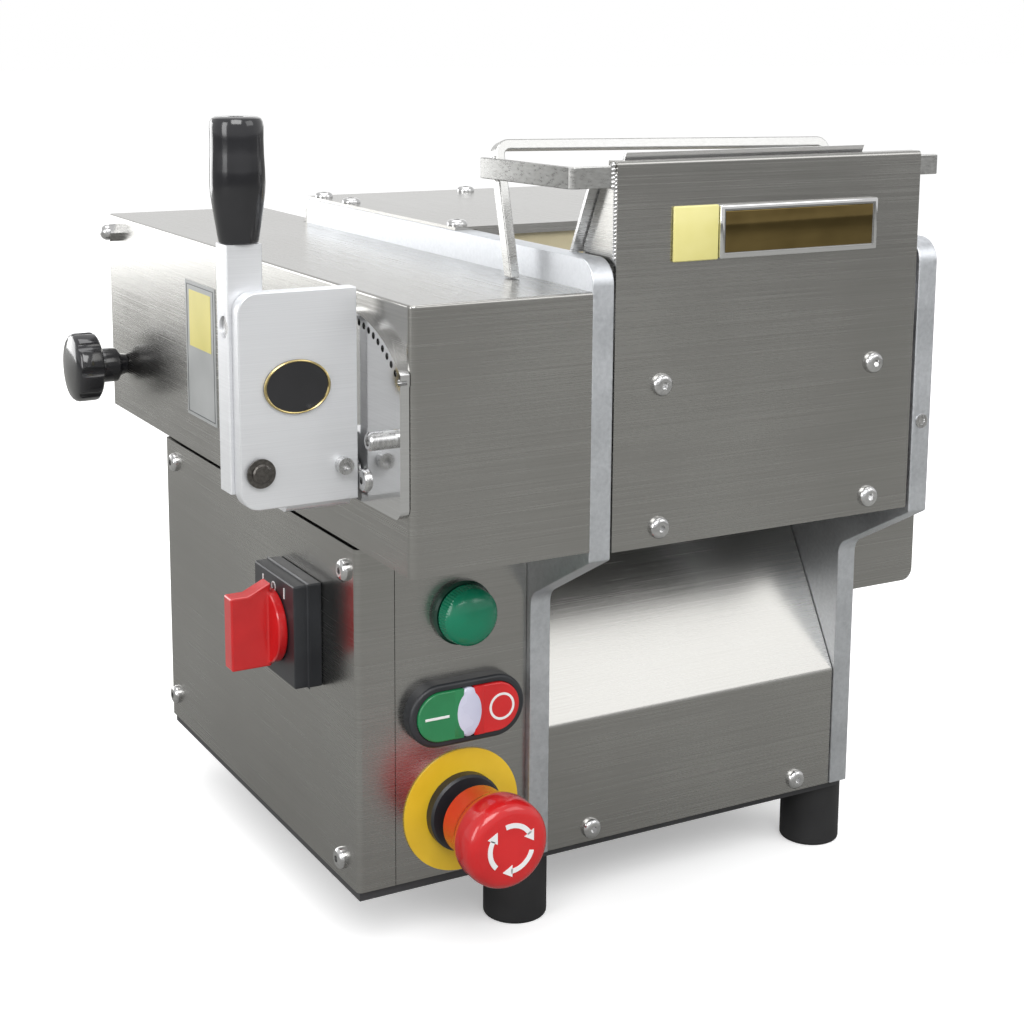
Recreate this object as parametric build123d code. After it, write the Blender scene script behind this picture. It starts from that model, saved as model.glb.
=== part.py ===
from build123d import *
import os
from math import cos, sin, radians, hypot, pi

os.makedirs("parts", exist_ok=True)

# Bench-top dough sheeter, millimetres.  +Z is up, the operator stands at -Y, the drive is on the left (-X).
# It is drawn from the left side plate's inner face (x = 0), the plates' upper front edge (y = 0) and the
# table (z = 0), and moved at the end so that the origin is under the middle of the whole machine.

# ---- side plates, feet and base ----
PLATE_T = 10.4            # side plates
INNER_W = 164.6           # clear width between them, for 160 mm rollers
PLATE_BACK = 300.0
PLATE_LOW_FRONT = 49.2    # the lower front edge stands back under the guard
PLATE_TOP = 318.0
PLATE_BOTTOM = 37.0
NOSE_BOTTOM = 189.6       # underside of the forward part
SLANT_LOW = 162.0         # where the slanted edge meets the lower front edge
FOOT_D, FOOT_H = 30.0, 32.0
BASE_T = 5.0
BASE_Z = FOOT_H
RIGHT = INNER_W + PLATE_T

# ---- casings ----
SHEET = 1.5
CASE_LEFT = -93.9
CASE_BACK, CASE_BOTTOM, CASE_TOP = 394.0, 194.3, 305.0
COVER_TOP = 193.0
PANEL_Y = 52.6
PANEL_LEFT = -76.2
RIGHT_COVER_X = 222.0
CHUTE_Y, CHUTE_BEND_Z = 50.2, 97.0
CHUTE_RUN = 0.565         # how far the chute goes back for each millimetre it rises

# ---- rollers and their drive ----
ROLLER_R, ROLLER_L = 27.5, 160.0
JOURNAL_R = 9.0
ROLLER_Z = 262.0
FIXED_Y = 130.0
GEAR_TEETH, GEAR_MODULE = 19, 3.0
CENTRES = GEAR_TEETH * GEAR_MODULE
ADJ_Y = FIXED_Y - CENTRES
GAP_TRAVEL = 4.0          # how far the lever opens the gap
RUN_FIT = 0.05            # radial clearance of a running fit
DRIVE_Y, DRIVE_Z = 126.0, 112.0
DRIVEN_R, DRIVE_R = 34.0, 20.0    # sprocket pitch radii
CHAIN_X = -45.0

# ---- gap lever on its cross shaft ----
LEVER_Y, LEVER_Z = 48.4, 228.0
SHAFT_R, NECK_R = 8.0, 4.9
CAM_R, CAM_E, CAM_REST = 12.0, 7.4, 30.0
INDEX_R, INDEX_STEP, INDEX_COUNT = 66.0, 4.1, 12
BAR_X, BAR_W, BAR_D = -145.0, 15.0, 12.0
BAR_FRONT = 43.3
BRACKET_L, BRACKET_R = -151.0, -100.0
BRACKET_LOW, BRACKET_HIGH = 220.5, 308.5
BRACKET_T = 7.0
TILT_X, TILT_Z = -142.9, 236.0
SECTOR_T = 4.0

# ---- infeed guard ----
GUARD_L, GUARD_R = 1.3, 163.3
GUARD_Y, GUARD_LOW, GUARD_HIGH = 1.0, 192.3, 358.1
HOPPER_RUN = 0.489        # how far the inclined sheet goes back for each millimetre it drops
HOPPER_Y, HOPPER_Z = 15.0, 346.5
BAIL_T, BAIL_W = 4.5, 6.0     # the bail's bar, seen from the front and from the side
BAIL_TOP, BAIL_FOOT_Y, BAIL_LEAN = 364.0, 52.0, 15.0

# ---- controls on the front panel ----
CONTROL_X = -43.6
LAMP_Z, BUTTON_Z, STOP_Z = 158.5, 114.5, 66.3
SWITCH_Y, SWITCH_Z = 113.0, 145.0
KNOB_Y, KNOB_Z = 367.5, 222.0

DOME_R, DOME_H, SHANK_R = 4.9, 2.9, 2.4
LOW_HEAD_H = 1.9          # the two screws that the lever's bracket passes over


# ---- small makers ----
def block(x0, x1, y0, y1, z0, z1):
    return Pos((x0 + x1) / 2, (y0 + y1) / 2, (z0 + z1) / 2) * Box(x1 - x0, y1 - y0, z1 - z0)


def rod_x(x0, x1, y, z, r):
    return Pos((x0 + x1) / 2, y, z) * Rot(0, 90, 0) * Cylinder(r, x1 - x0)


def rod_y(x, y0, y1, z, r):
    return Pos(x, (y0 + y1) / 2, z) * Rot(90, 0, 0) * Cylinder(r, y1 - y0)


def rod_z(x, y, z0, z1, r):
    return Pos(x, y, (z0 + z1) / 2) * Cylinder(r, z1 - z0)


def side_profile(points, x0, x1):
    """A solid from an outline of (y, z) points, from x0 to x1."""
    face = make_face(Polyline(*[(x0, y, z) for y, z in points], close=True))
    return extrude(face, amount=x1 - x0, dir=(1, 0, 0))


def front_profile(points, y0, y1):
    """A solid from an outline of (x, z) points, from y0 to y1."""
    face = make_face(Polyline(*[(x, y0, z) for x, z in points], close=True))
    return extrude(face, amount=y1 - y0, dir=(0, 1, 0))


def x_edges(solid, y, z, near=1.0):
    """The edges along X that pass within reach of (y, z)."""
    found = []
    for edge in solid.edges().filter_by(Axis.X):
        middle = edge.center()
        if hypot(middle.Y - y, middle.Z - z) < near:
            found.append(edge)
    return found


def turned(outline, x0, direction):
    """A part of revolution whose outline is (distance along the axis, radius), from x0 along +X or -X."""
    face = make_face(Polyline(*[(d, r) for d, r in outline], close=True))
    solid = revolve(face, Axis.X)
    if direction < 0:
        solid = Rot(0, 0, 180) * solid
    return Pos(x0, 0, 0) * solid


def dome_screw(direction, grip=6.0, height=DOME_H):
    """A button-head socket screw at the origin, its head standing out along the direction."""
    head = Cylinder(DOME_R, height, align=(Align.CENTER, Align.CENTER, Align.MIN))
    head = fillet(head.edges().sort_by(Axis.Z)[-1], 0.79 * height)
    socket = Pos(0, 0, height - 1.6) * extrude(RegularPolygon(1.7, 6), amount=3)
    shank = Pos(0, 0, -grip) * Cylinder(SHANK_R, grip, align=(Align.CENTER, Align.CENTER, Align.MIN))
    turn = {"-Y": Rot(90, 0, 0), "-X": Rot(0, -90, 0), "+Z": Rot(0, 0, 0), "+Y": Rot(-90, 0, 0),
            "+X": Rot(0, 90, 0)}[direction]
    return turn * (head - socket + shank)


def clearance_hole(direction, grip=8.0):
    turn = {"-Y": Rot(90, 0, 0), "-X": Rot(0, -90, 0), "+Z": Rot(0, 0, 0), "+Y": Rot(-90, 0, 0),
            "+X": Rot(0, 90, 0)}[direction]
    return turn * Cylinder(SHANK_R + 0.1, 2 * grip)


def group(solids):
    return Compound(children=list(solids))


# ---- screw places, shared by the screws and the holes under them ----
COVER_SCREWS = [(CASE_LEFT - 0.4, y, z) for y, z in ((285, 182), (291, 50), (64, 181.5), (70, 47))]
CHUTE_SCREWS = [(23.7, CHUTE_Y, 43.5), (143.0, CHUTE_Y, 43.5)]
TOP_SCREWS = [(x, y, PLATE_TOP + SHEET) for x in (-PLATE_T / 2, INNER_W + PLATE_T / 2) for y in (131, 252)]
TOP_SCREWS += [(x, 288, PLATE_TOP + SHEET) for x in (-PLATE_T / 2, 82, INNER_W + PLATE_T / 2)]
REAR_SCREWS = [(x, PLATE_BACK + SHEET, z) for x in (-PLATE_T / 2, INNER_W + PLATE_T / 2) for z in (60, 180, 290)]
SECTOR_SCREWS = [(CASE_LEFT - SECTOR_T, y, 228.3) for y in (34, 64)]
GUARD_SCREWS = [(25.0, GUARD_Y, 263), (140.0, GUARD_Y, 263), (25.0, GUARD_Y, 200.5), (140.0, GUARD_Y, 200.5)]
RIGHT_SCREWS = [(RIGHT_COVER_X, y, z) for y in (80, 270) for z in (150, 290)]


# ---- frame ----
def side_plate(x0, drive_side):
    outline = [(0, NOSE_BOTTOM), (0, PLATE_TOP), (PLATE_BACK, PLATE_TOP), (PLATE_BACK, PLATE_BOTTOM),
               (PLATE_LOW_FRONT, PLATE_BOTTOM), (PLATE_LOW_FRONT, SLANT_LOW)]
    plate = side_profile(outline, x0, x0 + PLATE_T)
    plate = fillet(x_edges(plate, 0, PLATE_TOP), 11)
    plate = fillet(x_edges(plate, PLATE_LOW_FRONT, SLANT_LOW), 8)
    plate = fillet(x_edges(plate, 0, NOSE_BOTTOM), 1.5)
    middle = x0 + PLATE_T / 2
    reach = PLATE_T
    plate -= rod_x(middle - reach, middle + reach, FIXED_Y, ROLLER_Z, JOURNAL_R + 4)
    plate -= rod_x(middle - reach, middle + reach, LEVER_Y, LEVER_Z, SHAFT_R + RUN_FIT)
    window = block(middle - reach, middle + reach, ADJ_Y - 16 - GAP_TRAVEL - 1, ADJ_Y + 16.3,
                   ROLLER_Z - 15.1, ROLLER_Z + 15.1)
    plate -= window
    if drive_side:
        plate -= rod_x(middle - reach, middle + reach, DRIVE_Y, DRIVE_Z, 13)
    else:
        plate -= rod_y(middle, -1, 8, EDGE_SCREW_Z, 1.6)
    for x, y, z in TOP_SCREWS:
        plate -= Pos(x, y, z) * clearance_hole("+Z", 10)
    for x, y, z in REAR_SCREWS:
        plate -= Pos(x, y, z) * clearance_hole("+Y", 10)
    return plate


def tie_rods():
    places = [(86, 205), (150, 200), (262, 52), (262, 296), (100, 62)]
    return group(rod_x(0.05, INNER_W - 0.05, y, z, 6.0) for y, z in places)


def base_tray():
    tray = block(CASE_LEFT + 1.5, RIGHT, PANEL_Y + 2.5, PLATE_BACK - 1, BASE_Z, BASE_Z + BASE_T)
    return tray


def rubber_feet():
    feet = []
    for x in (-PLATE_T / 2, INNER_W + PLATE_T / 2):
        for y in (71.0, 270.0):
            foot = rod_z(x, y, 0, FOOT_H, FOOT_D / 2)
            feet.append(fillet(foot.edges().sort_by(Axis.Z)[0], 1.5))
    return group(feet)


# ---- casings and covers ----
def drive_casing():
    plate_face = -PLATE_T
    outer = block(CASE_LEFT, plate_face, 0, CASE_BACK, CASE_BOTTOM, CASE_TOP)
    outer = fillet(outer.edges().filter_by(Axis.Z).sort_by(Axis.X)[:2], 3.0)
    top_rim = outer.faces().sort_by(Axis.Z)[-1].edges().sort_by(Axis.X)[:-1]
    outer = fillet(top_rim, 1.2)
    tail = block(plate_face, -1.0, PLATE_BACK + 5, CASE_BACK, CASE_BOTTOM, CASE_TOP)
    inner = block(CASE_LEFT + SHEET, plate_face + 1, SHEET, CASE_BACK - SHEET, CASE_BOTTOM + SHEET,
                  CASE_TOP - SHEET)
    tail_inner = block(plate_face - 5, -1.0 - SHEET, PLATE_BACK + 5 + SHEET, CASE_BACK - SHEET,
                       CASE_BOTTOM + SHEET, CASE_TOP - SHEET)
    chain_way = block(CASE_LEFT + 12, plate_face + 1, 66, 285, CASE_BOTTOM - 1, CASE_BOTTOM + 3)
    casing = outer + tail - inner - tail_inner - chain_way
    casing -= rod_x(CASE_LEFT - 2, CASE_LEFT + 4, LEVER_Y, LEVER_Z, SHAFT_R + 1.0)
    casing -= rod_x(CASE_LEFT - 2, CASE_LEFT + 4, KNOB_Y, KNOB_Z, 3.4)
    casing -= rod_x(CASE_LEFT - 2, CASE_LEFT + 4, 378, 296, 3.05)
    for x, y, z in SECTOR_SCREWS:
        casing -= Pos(x, y, z) * clearance_hole("-X", 8)
    casing -= rod_x(CASE_LEFT - 2, CASE_LEFT + 4, STOP_Y, STOP_PIN_Z, 2.05)
    return casing


def lower_left_cover():
    left = CASE_LEFT - 0.4
    bottom = PLATE_BOTTOM
    outer = block(left, -PLATE_T, PANEL_Y, PLATE_BACK, bottom, COVER_TOP)
    outer = fillet(outer.edges().filter_by(Axis.Z).sort_by(Axis.X)[:2], 2.5)
    inner = block(left + SHEET, -PLATE_T + 1, PANEL_Y + SHEET, PLATE_BACK - SHEET, bottom - 1, COVER_TOP + 1)
    panel_gap = block(PANEL_LEFT, -PLATE_T + 1, PANEL_Y - 1, PANEL_Y + 4, bottom - 1, COVER_TOP + 1)
    cover = outer - inner - panel_gap
    for x, y, z in COVER_SCREWS:
        cover -= Pos(x, y, z) * clearance_hole("-X", 4)
    cover -= rod_x(left - 1, left + 3, SWITCH_Y, SWITCH_Z, 12)
    return cover


def control_panel():
    panel = block(PANEL_LEFT + 0.3, -PLATE_T - 0.2, PANEL_Y, PANEL_Y + SHEET, PLATE_BOTTOM, COVER_TOP)
    for x in (PANEL_LEFT + 0.3, -PLATE_T - 0.2 - SHEET):
        panel += block(x, x + SHEET, PANEL_Y + SHEET, PANEL_Y + 14, PLATE_BOTTOM, COVER_TOP)
    for z, r in ((LAMP_Z, 11.2), (BUTTON_Z, 11.2), (STOP_Z, 11.2)):
        panel -= rod_y(CONTROL_X, PANEL_Y - 1, PANEL_Y + 3, z, r)
    return panel


def right_end_cover():
    step = 187.0
    narrow = block(RIGHT, step, 24, 61, 206, 300)
    wide = block(RIGHT, RIGHT_COVER_X, 60, PLATE_BACK - 2, 133, 300)
    wide = fillet(wide.edges().filter_by(Axis.Y).sort_by(Axis.X)[-2:], 6)
    wide_in = block(RIGHT - 1, RIGHT_COVER_X - SHEET, 60 + SHEET, PLATE_BACK - 2 - SHEET, 133 + SHEET, 300 - SHEET)
    wide_in = fillet(wide_in.edges().filter_by(Axis.Y).sort_by(Axis.X)[-2:], 4.5)
    narrow_in = block(RIGHT - 1, step - SHEET, 24 + SHEET, 64, 206 + SHEET, 300 - SHEET)
    cover = narrow + wide - wide_in - narrow_in
    for x, y, z in RIGHT_SCREWS:
        cover -= Pos(x, y, z) * clearance_hole("+X", 4)
    return cover


def outfeed_chute():
    """A panel that rises from the base, bends back and runs up under the rollers."""
    top_z = 218.0
    top_y = CHUTE_Y + (top_z - CHUTE_BEND_Z) * CHUTE_RUN
    outline = [(CHUTE_Y, PLATE_BOTTOM), (CHUTE_Y, CHUTE_BEND_Z), (top_y, top_z),
               (top_y + SHEET, top_z), (CHUTE_Y + SHEET, CHUTE_BEND_Z - 0.8), (CHUTE_Y + SHEET, PLATE_BOTTOM)]
    chute = side_profile(outline, 0.4, INNER_W - 0.4)
    chute = fillet(x_edges(chute, CHUTE_Y, CHUTE_BEND_Z), 4.0)
    for x in (0.4, INNER_W - 0.4 - SHEET):
        chute += block(x, x + SHEET, CHUTE_Y + SHEET, CHUTE_Y + 13, PLATE_BOTTOM, CHUTE_BEND_Z - 4)
    for x, y, z in CHUTE_SCREWS:
        chute -= Pos(x, y, z) * clearance_hole("-Y", 4)
    return chute


def rear_cover():
    panel = block(-PLATE_T, RIGHT, PLATE_BACK, PLATE_BACK + SHEET, PLATE_BOTTOM, PLATE_TOP)
    for row in range(5):
        for column in range(3):
            x = 40 + column * 42
            z = 220 + row * 12
            panel -= block(x - 14, x + 14, PLATE_BACK - 1, PLATE_BACK + 3, z - 1.8, z + 1.8)
    panel -= rod_y(GLAND_X, PLATE_BACK - 1, PLATE_BACK + 3, GLAND_Z, 8.1)
    for x, y, z in REAR_SCREWS:
        panel -= Pos(x, y, z) * clearance_hole("+Y", 4)
    return panel


def top_rear_cover():
    front = 124.0
    top = block(-PLATE_T + 0.6, RIGHT - 0.6, front, PLATE_BACK + SHEET, PLATE_TOP, PLATE_TOP + SHEET)
    lip = block(1.5, INNER_W - 1.5, front, front + SHEET, PLATE_TOP - 3, PLATE_TOP)
    cover = top + lip
    for x, y, z in TOP_SCREWS:
        cover -= Pos(x, y, z) * clearance_hole("+Z", 4)
    return cover


def infeed_apron():
    """A cream plastic wall under the top cover that keeps dough off the back of the fixed roller."""
    return side_profile([(126.5, PLATE_TOP), (130, PLATE_TOP), (130, 292), (127, 292)], 0.6, INNER_W - 0.6)


# ---- infeed guard, which lifts off as one piece ----
def hopper_guard():
    plate = block(GUARD_L, GUARD_R, GUARD_Y, GUARD_Y + 2, GUARD_LOW, GUARD_HIGH)
    plate = fillet(x_edges(plate, GUARD_Y, GUARD_HIGH), 1.6)
    flange = block(GUARD_L, GUARD_R, GUARD_Y + 2, GUARD_Y + 7, GUARD_HIGH - 2, GUARD_HIGH)
    guard = plate + flange
    low_y = HOPPER_Y + (HOPPER_Z - 319) * HOPPER_RUN
    wing = [(GUARD_Y + 1.5, HOPPER_Z), (HOPPER_Y - 1, HOPPER_Z), (low_y - 1, 319), (GUARD_Y + 1.5, 315)]
    for x in (GUARD_L, GUARD_R - 2):
        guard += side_profile(wing, x, x + 2)
    for x, y, z in GUARD_SCREWS:
        guard -= Pos(x, y, z) * clearance_hole("-Y", 6)
    return guard


def hopper_sheet():
    """The inclined sheet behind the guard: its ears stand on the side plates' top edges."""
    thick = 1.8

    def strip(z_low, z_high, x0, x1):
        y_low = HOPPER_Y + (HOPPER_Z - z_low) * HOPPER_RUN
        y_high = HOPPER_Y + (HOPPER_Z - z_high) * HOPPER_RUN
        return side_profile([(y_low, z_low), (y_high, z_high), (y_high + thick, z_high), (y_low + thick, z_low)],
                            x0, x1)
    sheet = strip(292, 355, 3.6, GUARD_R - 2.3) + strip(PLATE_TOP, 347, -3.5, INNER_W + 3.5)
    return sheet + strip(355, 361, 10, 136)


def guard_bar():
    """A flat bar behind the guard's top; its left end bends back along the bail's leg."""
    y0, depth, height, top = GUARD_Y + 2.0, 3.0, 9.0, GUARD_HIGH - 2.0
    corner_x, arm_end_x, arm_end_y = -20.0, -25.6, 70.0
    outline = [(corner_x + 2, y0), (175.0, y0), (175.0, y0 + depth), (corner_x + depth, y0 + depth),
               (arm_end_x + depth, arm_end_y), (arm_end_x, arm_end_y), (corner_x, y0 + 2)]
    face = make_face(Polyline(*[(x, y, top - height) for x, y in outline], close=True))
    bar = extrude(face, amount=height, dir=(0, 0, 1))
    inner_corner = [e for e in bar.edges().filter_by(Axis.Z) if abs(e.center().X - corner_x - depth) < 0.5]
    return fillet(inner_corner, 3)


def lift_handle():
    """A bail of square bar that leans back: its left leg stands on the casing, its right one inside the plate."""
    half, left, right, low = BAIL_T / 2, -19.35, 158.5, 285.0
    high_left, high_right = BAIL_TOP + 1.5, BAIL_TOP - 1.5
    outline = [(left - half, low), (left - half, high_left), (right + half, high_right), (right + half, low),
               (right - half, low), (right - half, high_right - BAIL_T), (left + half, high_left - BAIL_T),
               (left + half, low)]
    bail = front_profile(outline, -BAIL_W / 2, BAIL_W / 2)
    along = bail.edges().filter_by(Axis.Y).sort_by(Axis.Z)
    bail = fillet(along[-2:], 7)
    bail = fillet(bail.edges().filter_by(Axis.Y).filter_by(
        lambda e: high_right - BAIL_T - 1 < e.center().Z < high_left - BAIL_T + 1
        and left < e.center().X < right), 2.8)
    bail = Pos(0, BAIL_FOOT_Y, CASE_TOP) * Rot(-BAIL_LEAN, 0, 0) * Pos(0, 0, -CASE_TOP) * bail
    under = block(left - 10, right + 10, 20, 90, 200, CASE_TOP + 0.4)
    return bail - under


def guard_screws():
    return group(Pos(*p) * dome_screw("-Y", 6) for p in GUARD_SCREWS)


def guard_badges():
    square = block(28.8, 51.8, GUARD_Y - 1.2, GUARD_Y, 315.0, 338.6)
    square = fillet(square.edges().filter_by(Axis.Y), 3.0)
    bar = block(51.9, 137.6, GUARD_Y - 2.6, GUARD_Y, 315.2, 338.4)
    bar = fillet(bar.edges().filter_by(Axis.Y), 2.5)
    bar = fillet(bar.faces().sort_by(Axis.Y)[0].edges(), 1.8)
    return group([square, bar])


# ---- gap lever ----
def cross_shaft():
    neck_end = CASE_LEFT - SECTOR_T - 1.5
    neck = rod_x(-128.0, neck_end, LEVER_Y, LEVER_Z, NECK_R)
    return neck + rod_x(neck_end, RIGHT + 10.2, LEVER_Y, LEVER_Z, SHAFT_R)


def roller_cams():
    angle = radians(CAM_REST)
    y, z = LEVER_Y + CAM_E * cos(angle), LEVER_Z + CAM_E * sin(angle)
    bore_fit = 0.02
    cams = []
    for x0 in (-PLATE_T - 10, RIGHT + 1):
        cams.append(rod_x(x0, x0 + 9, y, z, CAM_R) - rod_x(x0 - 1, x0 + 10, LEVER_Y, LEVER_Z, SHAFT_R + bore_fit))
    return group(cams)


def lever_hub():
    hub = block(-129.0, BRACKET_R - 0.5, BAR_FRONT, BAR_FRONT + 17, 216.0, 246.0)
    hub = fillet(hub.edges().filter_by(Axis.X), 3)
    hub -= rod_x(-140, -90, LEVER_Y, LEVER_Z, NECK_R + 0.02)
    for x, z in BRACKET_SCREW_PLACES:
        hub -= rod_y(x, BAR_FRONT - 1, BAR_FRONT + 3.6, z, 2.05)
    return hub


def lever_bracket():
    plate = block(BRACKET_L, BRACKET_R, BAR_FRONT - BRACKET_T, BAR_FRONT, BRACKET_LOW, BRACKET_HIGH)
    corners = plate.edges().filter_by(Axis.Y).sort_by(Axis.X)[:2]
    plate = fillet(corners, 8)
    plate -= rod_y(TILT_X, 30, 50, TILT_Z, 4.02)
    for x, z in BRACKET_SCREW_PLACES:
        plate -= rod_y(x, 30, 50, z, 2.05)
    return plate


def lever_bar():
    bar = block(BAR_X - BAR_W / 2, BAR_X + BAR_W / 2, BAR_FRONT + 0.3, BAR_FRONT + 0.3 + BAR_D, 226.5, 327.0)
    bar = chamfer(bar.edges().filter_by(Axis.Z), 0.4)
    bar -= rod_y(TILT_X, 30, 70, TILT_Z, 4.0 + RUN_FIT)
    bar -= rod_x(-160, -130, PLUNGER_Y, PLUNGER_Z, 4.52)
    return bar


def lever_grip():
    r = [(327.0, 0), (327.0, 7.6), (330, 8.2), (346, 10.7), (351, 10.9), (360, 10.4), (374.5, 10.6), (376.8, 8.6),
         (376.8, 0)]
    face = make_face(Polyline(*[(radius, 0, z) for z, radius in r], close=True))
    grip = revolve(face, Axis.Z)
    return Pos(BAR_X, BAR_FRONT + 0.3 + BAR_D / 2, 0) * grip


def tilt_pin():
    pin = rod_y(TILT_X, BAR_FRONT - BRACKET_T - 3.2, BAR_FRONT + BAR_D + 2.0, TILT_Z, 4.0)
    pin = chamfer(pin.edges().sort_by(Axis.Y)[0], 0.6)
    collar = rod_y(TILT_X, BAR_FRONT - BRACKET_T - 2.0, BAR_FRONT - BRACKET_T - 1.0, TILT_Z, 6.0)
    return pin + collar


def index_plunger():
    body = rod_x(BAR_X - BAR_W / 2 + 1, BAR_X + BAR_W / 2 + 26.0, PLUNGER_Y, PLUNGER_Z, 4.5)
    tip_end = CASE_LEFT - SECTOR_T - 0.5
    tip = rod_x(BAR_X + BAR_W / 2 + 26.0, tip_end, PLUNGER_Y, PLUNGER_Z, 1.2)
    return body + tip


def bracket_screws():
    screws = []
    for x, z in BRACKET_SCREW_PLACES:
        y = BAR_FRONT - BRACKET_T
        head = rod_y(x, y - 4, y, z, 3.5) - rod_y(x, y - 5, y - 1.8, z, 1.8)
        screws.append(head + rod_y(x, y, y + BRACKET_T + 3, z, 2.0))
    return group(screws)


def index_sector():
    """A polished plate with an arc of index holes about the lever's shaft."""
    x0, x1 = CASE_LEFT - SECTOR_T, CASE_LEFT
    front, low, back, high = 1.0, 218.4, 86.0, 273.0
    outer_r = 69.0
    disc = rod_x(x0, x1, LEVER_Y, LEVER_Z, outer_r)
    arc_zone = block(x0 - 1, x1 + 1, front - 0.5, back, high, 300)
    lower = block(x0, x1, front, back, low, high + 0.5)
    lower = fillet(x_edges(lower, front, low), 5)
    sector = lower + (disc & arc_zone)
    for step in range(INDEX_COUNT):
        angle = radians(step * INDEX_STEP)
        sector -= rod_x(x0 - 1, x0 + 3, LEVER_Y - INDEX_R * sin(angle), LEVER_Z + INDEX_R * cos(angle), 1.45)
    sector -= rod_x(x0 - 1, x1 + 1, LEVER_Y, LEVER_Z, SHAFT_R + 1.0)
    sector -= rod_x(x0 - 1, x1 + 1, STOP_Y, STOP_PIN_Z, 2.05)
    for x, y, z in SECTOR_SCREWS:
        sector -= Pos(x, y, z) * clearance_hole("-X", 6)
    return sector


def stop_pin():
    x0 = CASE_LEFT - SECTOR_T
    pin = rod_x(x0 - 12, x0, STOP_Y, STOP_PIN_Z, 3.8)
    pin = chamfer(pin.edges().sort_by(Axis.X)[0], 0.8)
    pin -= rod_x(x0 - 13, x0 - 10.5, STOP_Y, STOP_PIN_Z, 1.8)
    return pin + rod_x(x0, x0 + 7, STOP_Y, STOP_PIN_Z, 2.0)


def bracket_badge():
    face = Plane(origin=(-126.6, BAR_FRONT - BRACKET_T, 269.8), z_dir=(0, -1, 0), x_dir=(1, 0, 0))
    return extrude(face * Ellipse(14.3, 11.1), amount=0.8)


# ---- rollers and drive ----
def roller(y):
    body = rod_x((INNER_W - ROLLER_L) / 2, (INNER_W + ROLLER_L) / 2, y, ROLLER_Z, ROLLER_R)
    return body


def fixed_roller():
    shaft = rod_x(-62, RIGHT + 12, FIXED_Y, ROLLER_Z, JOURNAL_R)
    return roller(FIXED_Y) + shaft


def adjustable_roller():
    shaft = rod_x(-36, RIGHT + 10.2, ADJ_Y, ROLLER_Z, JOURNAL_R)
    return roller(ADJ_Y) + shaft


def fixed_bushes():
    bushes = []
    for x0, flange in ((-PLATE_T, -PLATE_T - 2), (INNER_W, RIGHT)):
        tube = rod_x(x0, x0 + PLATE_T, FIXED_Y, ROLLER_Z, JOURNAL_R + 3.95)
        lip = rod_x(flange, flange + 2, FIXED_Y, ROLLER_Z, JOURNAL_R + 7)
        bore = rod_x(x0 - 5, x0 + PLATE_T + 5, FIXED_Y, ROLLER_Z, JOURNAL_R + RUN_FIT)
        bushes.append(tube + lip - bore)
    return group(bushes)


def bearing_blocks():
    """The adjustable roller's sliding bearings, each with a foot in front of its cam."""
    foot_y = LEVER_Y + CAM_E * cos(radians(CAM_REST)) + CAM_R + 0.6
    blocks = []
    for x0, outside in ((-PLATE_T, -1), (INNER_W, 1)):
        slide = block(x0, x0 + PLATE_T, ADJ_Y - 16, ADJ_Y + 16, ROLLER_Z - 15, ROLLER_Z + 15)
        flange_x = x0 - 10 if outside < 0 else x0 + PLATE_T
        foot = block(flange_x, flange_x + 10, foot_y, ADJ_Y + 12, 216.0, ROLLER_Z + 19)
        bore = rod_x(x0 - 20, x0 + PLATE_T + 20, ADJ_Y, ROLLER_Z, JOURNAL_R + RUN_FIT)
        blocks.append(slide + foot - bore)
    return group(blocks)


def gear(y, z, x0, width, bore_r, phase):
    """A straight-sided gear: its teeth stand at equal angles from the phase, measured from +Y towards +Z."""
    root = GEAR_TEETH * GEAR_MODULE / 2 - 1.25 * GEAR_MODULE
    tip = GEAR_TEETH * GEAR_MODULE / 2 + GEAR_MODULE
    pitch_half = pi * GEAR_MODULE / 4 - 0.35
    blank = rod_x(x0, x0 + width, 0, 0, root)
    tooth_outline = [(root - 1.5, -pitch_half - 1.1), (root - 1.5, pitch_half + 1.1),
                     (root + 1.0, pitch_half + 0.9), (tip, pitch_half - 1.3), (tip, -pitch_half + 1.3),
                     (root + 1.0, -pitch_half - 0.9)]
    tooth = side_profile(tooth_outline, x0, x0 + width)
    step = 360 / GEAR_TEETH
    for number in range(GEAR_TEETH):
        blank += Rot(phase + number * step, 0, 0) * tooth
    blank -= rod_x(x0 - 1, x0 + width + 1, 0, 0, bore_r)
    return Pos(0, y, z) * blank


def fixed_gear():
    return gear(FIXED_Y, ROLLER_Z, -34.0, 12.0, JOURNAL_R + 0.02, 180)


def adjustable_gear():
    return gear(ADJ_Y, ROLLER_Z, -34.0, 12.0, JOURNAL_R + 0.02, 180 / GEAR_TEETH)


def sprocket(y, z, pitch_r, teeth, bore_r):
    width = 6.0
    plate = rod_x(CHAIN_X - width / 2, CHAIN_X + width / 2, y, z, pitch_r + 2.0)
    for number in range(teeth):
        angle = 2 * pi * number / teeth
        plate -= rod_x(CHAIN_X - 9, CHAIN_X + 9, y + (pitch_r + 1.6) * cos(angle), z + (pitch_r + 1.6) * sin(angle), 3.2)
    hub = rod_x(CHAIN_X - 12, CHAIN_X + width / 2, y, z, bore_r + 6)
    return plate + hub - rod_x(CHAIN_X - 20, CHAIN_X + 20, y, z, bore_r)


def driven_sprocket():
    return sprocket(FIXED_Y, ROLLER_Z, DRIVEN_R, 17, JOURNAL_R + 0.02)


def drive_sprocket():
    shaft = rod_x(-60, 6, DRIVE_Y, DRIVE_Z, 9)
    return sprocket(DRIVE_Y, DRIVE_Z, DRIVE_R, 10, 8.0) + shaft


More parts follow.
